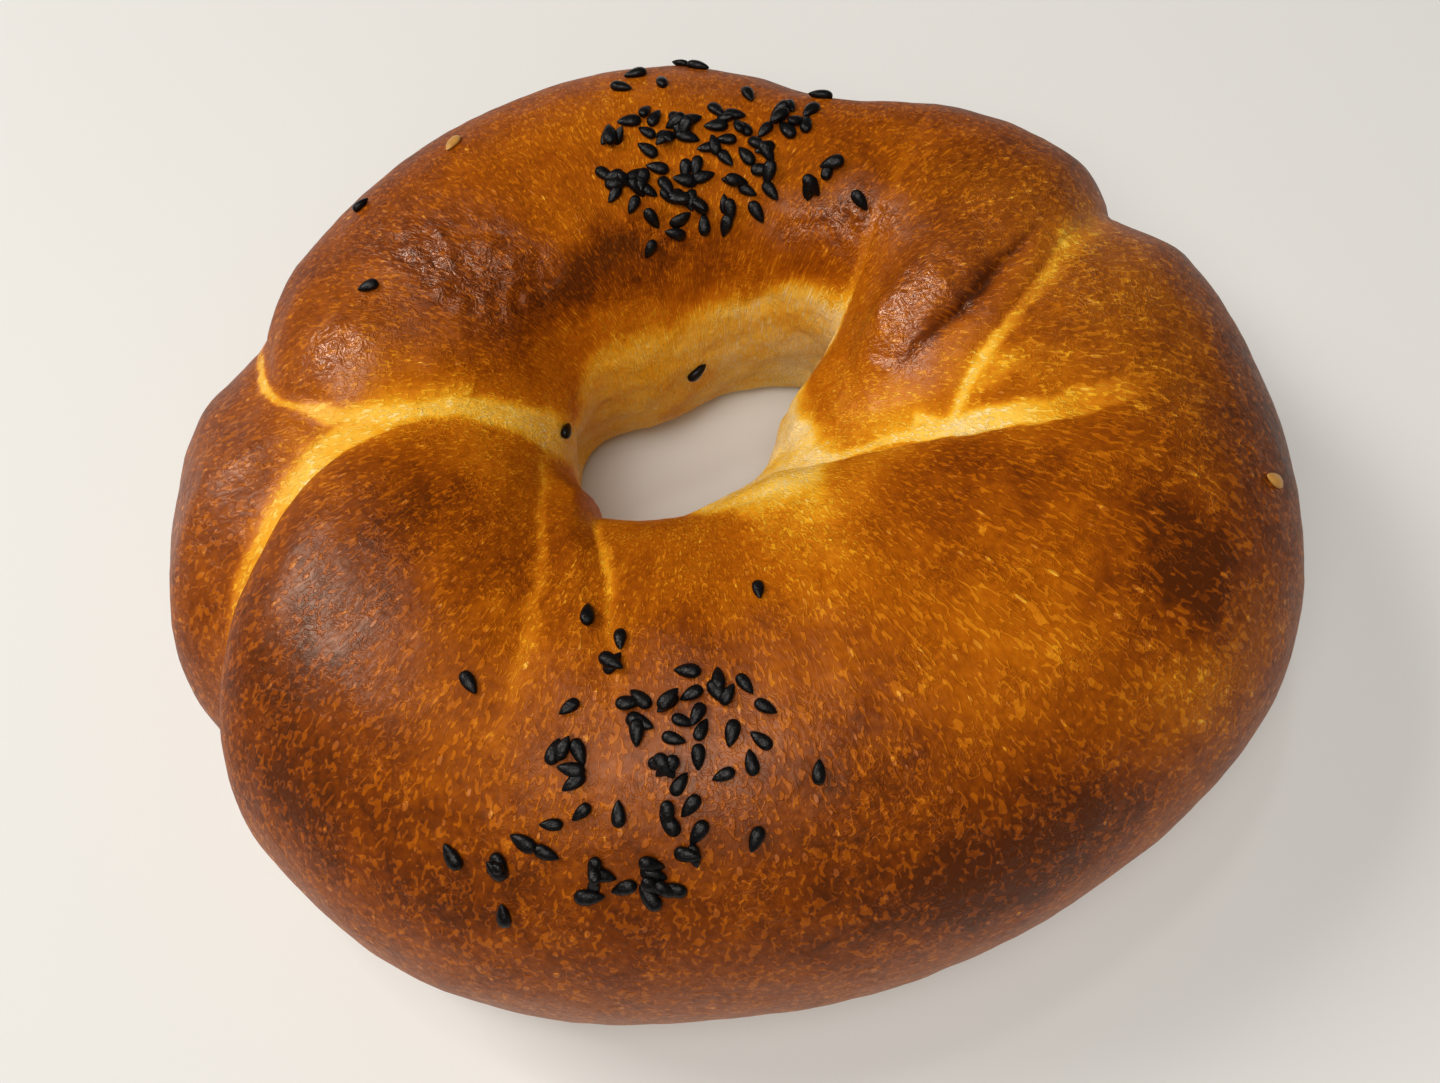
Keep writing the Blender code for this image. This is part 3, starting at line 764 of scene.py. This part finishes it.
# %% Where seeds fell
PATCHES = (
    (92, 84, 4, 2.2), (84, 88, 7, 2.2), (73, 85, 7, 2.4), (60, 80, 8, 2.4), (98, 88, 3, 0.8),
    (89, 96, 4, 2.0), (77, 94, 2, 1.4), (65, 94, 6, 3.0), (96, 104, 9, 2.8), (83, 106, 8, 2.6),
    (64, 108, 7, 3.2), (49, 104, 5, 2.0), (89, 114, 5, 2.4), (77, 117, 3, 1.2),
    (255, 96, 2, 1.3), (265, 92, 4, 2.0), (272, 91, 4, 1.6), (260, 87, 4, 2.2), (266, 84, 5, 2.6),
    (251, 79, 5, 2.2), (264, 78, 4, 1.6), (272, 78, 4, 2.4), (264, 70, 3, 1.4), (266, 64, 3, 1.8),
    (250, 64, 3, 2.0), (257, 56, 6, 2.0), (262, 56, 6, 1.8), (247, 56, 3, 0.6),
)
STRAYS = (
    (87, 66, -80), (71, 70, 120), (59, 62, 20), (72, 98, 140), (103, 99, 130), (38, 111, 165), (98, 110, 50),
    (86, 121, -20), (68, 121, 85), (60, 117, 140), (96, 124, 50), (158, 84, -55), (142, 56, 165),
    (91.4, 57.6, 10), (94.2, 66.6, 150), (84.2, 43.2, -20), (81.2, 47.5, 160),
    (80, 176, -160), (182, 156, 145),
    (248, 108, 105), (255, 103, -80), (280, 108, -100), (236, 88, -30), (250, 89, -130), (276, 86, -40),
    (280, 72, 70), (254, 70, -130), (258, 70, 95), (272, 62, -120), (242, 56, 140), (248, 46, 105),
)
SESAME_SEEDS = ((125, 62, 33), (341, 41, 95))
print(len(PATCHES), "patches,", len(STRAYS), "strays and", len(SESAME_SEEDS), "sesame seeds")

# %% Scatter the nigella
SEED_SIZES = (0.84, 1.12)
SEED_GAP = 2.1
PILE_REACH = 1.5
PILE_STEEPNESS = 0.5
SEED_TRIES = 12
SCATTER_START = 11


def on_ring(around, across):
    """A point of the exact crust, in mm, at angles in degrees."""
    return crust_points(math.radians(around), math.radians(across))


def tries(draw, around, across, spread):
    """Endless places in a round patch: (around, across), and the point in mm."""
    middle = on_ring(around, across)
    degree_around = np.linalg.norm(on_ring(around + 1, across) - middle)
    degree_across = np.linalg.norm(on_ring(around, across + 1) - middle)
    while True:
        way = spread * math.sqrt(draw.random())
        angle = draw.uniform(0, math.tau)
        spot = (around + way * math.cos(angle) / degree_around,
                across + way * math.sin(angle) / degree_across)
        yield spot, on_ring(*spot)


def scattered_places(draw):
    """The nigella that lies clear: (around, across, turn, size), their points, and the seeds left over."""
    places = [(*stray, draw.uniform(*SEED_SIZES)) for stray in STRAYS]
    taken = [on_ring(around, across) for around, across, _ in STRAYS]
    left_over = []
    for around, across, seeds, spread in PATCHES:
        ways = tries(draw, around, across, spread)
        laid = 0
        for _ in range(seeds):
            for _ in range(SEED_TRIES):
                spot, point = next(ways)
                if all(np.linalg.norm(point - other) > SEED_GAP for other in taken):
                    taken.append(point)
                    places.append((*spot, draw.uniform(0, 360), draw.uniform(*SEED_SIZES)))
                    laid += 1
                    break
        left_over.append((around, across, spread, seeds - laid))
    return places, taken, left_over


def piled_places(draw, taken, left_over):
    """The seeds left over lie partly on others: (around, across, turn, size, lift in mm)."""
    places = []
    for around, across, spread, seeds in left_over:
        ways = tries(draw, around, across, spread)
        for _ in range(seeds):
            spot, point = next(ways)
            closest = min(np.linalg.norm(point - other) for other in taken)
            taken.append(point)
            lift = max(0, PILE_REACH - closest) * PILE_STEEPNESS
            places.append((*spot, draw.uniform(0, 360), draw.uniform(*SEED_SIZES), lift))
    return places


clear, taken, left_over = scattered_places(random.Random(SCATTER_START))
piled = piled_places(random.Random(SCATTER_START + 1), taken, left_over)
print(len(clear), "nigella seeds lie clear and", len(piled), "on others")

# %% [markdown]
# ## One seed
#
# A seed starts as a small sphere. It is drawn out, tapered to a point at one end, and pinched to flat
# sides. All seeds of a kind are one piece, so each is shaped in the same mesh, and has few faces, because
# there are so many. Laying the sphere down swaps two of its axes, which turns it inside out, so in the end
# all faces are turned back. Recalculated normals can guess wrong on a seed as flat as sesame.

# %% Shape a seed
NIGELLA = (2.6, 1.5, 0.85)
SESAME = (2.8, 1.6, 0.55)
WIDEST_PART = -0.25
SIDE_PINCH = 0.13


def seed_width(along):
    """Half width of a seed whose widest is 1, from -1 at its blunt end to 1 at its point."""
    past = (along - WIDEST_PART) / (1 - WIDEST_PART if along > WIDEST_PART else 1 + WIDEST_PART)
    if past > 0:
        return (1 - past ** 1.7) ** 0.75
    return (1 - abs(past) ** 2.6) ** 0.5


def add_seed(shape, kind, size, sides, place, axes):
    """One seed, laid at a place with its length along the first axis."""
    length, width, flatness = kind
    ball = bmesh.ops.create_uvsphere(shape, u_segments=12, v_segments=10, radius=1)
    for vertex in ball["verts"]:
        along = min(1, max(-1, vertex.co.z))
        turn = math.atan2(vertex.co.y, vertex.co.x)
        wide = seed_width(along) * (1 - SIDE_PINCH * (0.5 + 0.5 * math.cos(sides * turn)))
        local = Vector((along * length / 2, math.sin(turn) * wide * width / 2,
                        math.cos(turn) * wide * width * flatness / 2)) * size * MM
        vertex.co = place + axes @ local


print("a nigella seed", NIGELLA[0], "mm long and", NIGELLA[1], "wide, sesame", SESAME[0], "and", SESAME[1])

# %% Lay the seeds
SEED_SINK = 0.25
CLEAR_TILT = 0.05
PILED_TILT = 0.35

shape = bmesh.new()
shape.from_mesh(crust_mesh)
crust_tree = BVHTree.FromBMesh(shape)
shape.free()


def laid_axes(normal, around, turn, tilt):
    """A seed's axes: its length, turned from the ring's own way, its width, and up from the crust."""
    way = Vector((-math.sin(math.radians(around)), math.cos(math.radians(around)), 0))
    way = (way - normal * way.dot(normal)).normalized()
    along = Matrix.Rotation(math.radians(turn), 3, normal) @ way
    axes = Matrix((along, normal.cross(along), normal)).transposed()
    return axes @ Matrix.Rotation(tilt, 3, 'Y')


def seeds_piece(name, kind, places, tilts, sides):
    """All seeds of one kind, each sunk a little into the nearest crust, as one object."""
    shape = bmesh.new()
    length, width, flatness = kind
    for (around, across, turn, size, lift), tilt in zip(places, tilts):
        place, normal, _, _ = crust_tree.find_nearest(Vector((on_ring(around, across) * MM).tolist()))
        place = place + normal * (width * flatness * SEED_SINK + lift) * MM
        add_seed(shape, kind, size, sides, place, laid_axes(normal, around, turn, tilt))
    bmesh.ops.reverse_faces(shape, faces=shape.faces)
    mesh = bpy.data.meshes.new(name)
    shape.to_mesh(mesh)
    shape.free()
    mesh.shade_smooth()
    piece = bpy.data.objects.new(name, mesh)
    bpy.context.scene.collection.objects.link(piece)
    return piece


places = [(*place, 0.0) for place in clear] + piled
draw = random.Random(SCATTER_START + 2)
tilts = [draw.gauss(0, CLEAR_TILT) for _ in clear] + [draw.gauss(0, PILED_TILT) for _ in piled]
nigella = seeds_piece("nigella_seeds", NIGELLA, places, tilts, 3)
sesame = seeds_piece("sesame_seeds", SESAME, [(*place, 1.0, 0.0) for place in SESAME_SEEDS], (0, 0), 2)
print(nigella.name, len(nigella.data.polygons), "faces,", sesame.name, len(sesame.data.polygons), "faces")

# %% [markdown]
# ## The seeds' finish
#
# Nigella is black, between matt and satin, with a finely wrinkled skin. Sesame is smooth, and the oven
# toasted it to a golden tan.

# %% Make the seeds' finishes
SEED_SKIN_SIZE = 0.35
TOAST_SIZE = 1.2
NIGELLA_COLOURS = ((0.3, (0.0018, 0.0016, 0.0016)), (0.75, (0.005, 0.004, 0.004)))
SESAME_COLOURS = ((0.3, (0.55, 0.27, 0.05)), (0.7, (0.40, 0.17, 0.025)))


def nigella_finish():
    material, shader, place = new_finish("nigella_skin")
    skin = grain(place, PER_MM / SEED_SKIN_SIZE, 3.0)
    place.node("ValToRGB", {"stops": NIGELLA_COLOURS}, {"Fac": skin}, "Color").to(shader, "Base Color")
    (0.22 + 0.2 * skin).to(shader, "Roughness")
    shader.inputs["Specular IOR Level"].default_value = 0.17
    place.node("Bump", {}, {"Strength": 1.0, "Distance": MM, "Height": 0.08 * skin}).to(shader, "Normal")
    return material


def sesame_finish():
    material, shader, place = new_finish("toasted_sesame")
    toast = grain(place, PER_MM / TOAST_SIZE, 2.0)
    place.node("ValToRGB", {"stops": SESAME_COLOURS}, {"Fac": toast}, "Color").to(shader, "Base Color")
    (0.35 + 0.2 * toast).to(shader, "Roughness")
    return material


nigella.data.materials.append(nigella_finish())
sesame.data.materials.append(sesame_finish())
print(nigella.data.materials[0].name, sesame.data.materials[0].name)

# %% [markdown]
# ## One bread
#
# The three pieces stand for the one solid, and ride on its body.

# %% Tie the pieces to the solid
for piece, slot in ((crust, "crust"), (nigella, "nigella"), (sesame, "sesame")):
    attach(piece, "root")
    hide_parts("acma_bread")

# %% [markdown]
# ## The floor
#
# A plain pale floor, large enough that no edge shows from above. It isn't part of the bread.

# %% Lay the floor
FLOOR_REACH = 3.0

shape = bmesh.new()
bmesh.ops.create_grid(shape, x_segments=1, y_segments=1, size=FLOOR_REACH)
floor_mesh = bpy.data.meshes.new("floor")
shape.to_mesh(floor_mesh)
shape.free()
floor = bpy.data.objects.new("floor", floor_mesh)
bpy.context.scene.collection.objects.link(floor)
floor_finish, floor_shader, _ = new_finish("pale_floor")
floor_shader.inputs["Base Color"].default_value = (0.67, 0.655, 0.62, 1)
floor_shader.inputs["Roughness"].default_value = 0.6
floor_mesh.materials.append(floor_finish)
print("floor laid")

# %% [markdown]
# ## Light
#
# The window, a soft lamp at the far left, throws the shadow to the right. A broad lamp overhead, a little
# in front, is mirrored on the crowns of the lobes as a wide sheen. Two weaker lamps from in front reach into
# the hole and the folds, and a small one over the far side puts glints on the blisters.

# %% Set the lights
LAMP_AIM = Vector((0, 0, 0.02))
Lamp = namedtuple("Lamp", "name place side power colour")
LAMPS = (
    Lamp("ceiling", (-0.04, -0.20, 1.10), 0.50, 4.9, (1.0, 0.99, 0.97)),
    Lamp("window", (-0.68, 0.40, 0.78), 0.38, 6.7, (1.0, 0.98, 0.95)),
    Lamp("fill", (-0.32, -0.42, 0.95), 0.40, 3.2, (1.0, 0.97, 0.92)),
    Lamp("front", (0.02, -0.70, 0.80), 0.50, 1.0, (1.0, 0.97, 0.92)),
    Lamp("spot", (-0.15, 0.30, 1.10), 0.08, 0.8, (1.0, 0.98, 0.95)),
)


def hang(lamp):
    """A square soft lamp, turned to the bread."""
    data = bpy.data.lights.new(lamp.name, 'AREA')
    data.shape = 'SQUARE'
    data.size = lamp.side
    data.energy = lamp.power
    data.color = lamp.colour
    hung = bpy.data.objects.new(lamp.name, data)
    hung.location = lamp.place
    hung.rotation_euler = (LAMP_AIM - Vector(lamp.place)).to_track_quat('-Z', 'Y').to_euler()
    bpy.context.scene.collection.objects.link(hung)


for lamp in LAMPS:
    hang(lamp)
world = bpy.data.worlds.new("room")
world.use_nodes = True
world.node_tree.nodes["Background"].inputs["Color"].default_value = (0.9, 0.93, 1.0, 1)
world.node_tree.nodes["Background"].inputs["Strength"].default_value = 0.1
bpy.context.scene.world = world
bpy.context.scene.view_settings.view_transform = 'Standard'
print("lamps", [lamp.name for lamp in LAMPS])

# %% [markdown]
# ## Camera
#
# The camera looks down steeply, from in front, and is rolled a little, as one held in the hand is. It
# stands close, so the near lobe looks larger than the far one.

# %% Set the camera
CAMERA_AIM = Vector((-1.24, 1.735, 0)) * MM
CAMERA_DISTANCE = 183 * MM
CAMERA_ELEVATION = math.radians(68.22)
CAMERA_ROLL = math.radians(-7.24)
LENS = 36.25

camera_data = bpy.data.cameras.new("camera")
camera_data.lens = LENS
camera = bpy.data.objects.new("camera", camera_data)
looking = Vector((0, math.cos(CAMERA_ELEVATION), -math.sin(CAMERA_ELEVATION)))
camera.rotation_mode = 'QUATERNION'
roll = Matrix.Rotation(CAMERA_ROLL, 3, 'Z').to_quaternion()
camera.rotation_quaternion = looking.to_track_quat('-Z', 'Y') @ roll
camera.location = CAMERA_AIM - looking * CAMERA_DISTANCE
bpy.context.scene.collection.objects.link(camera)
bpy.context.scene.camera = camera
print("camera at", [round(v, 4) for v in camera.location])
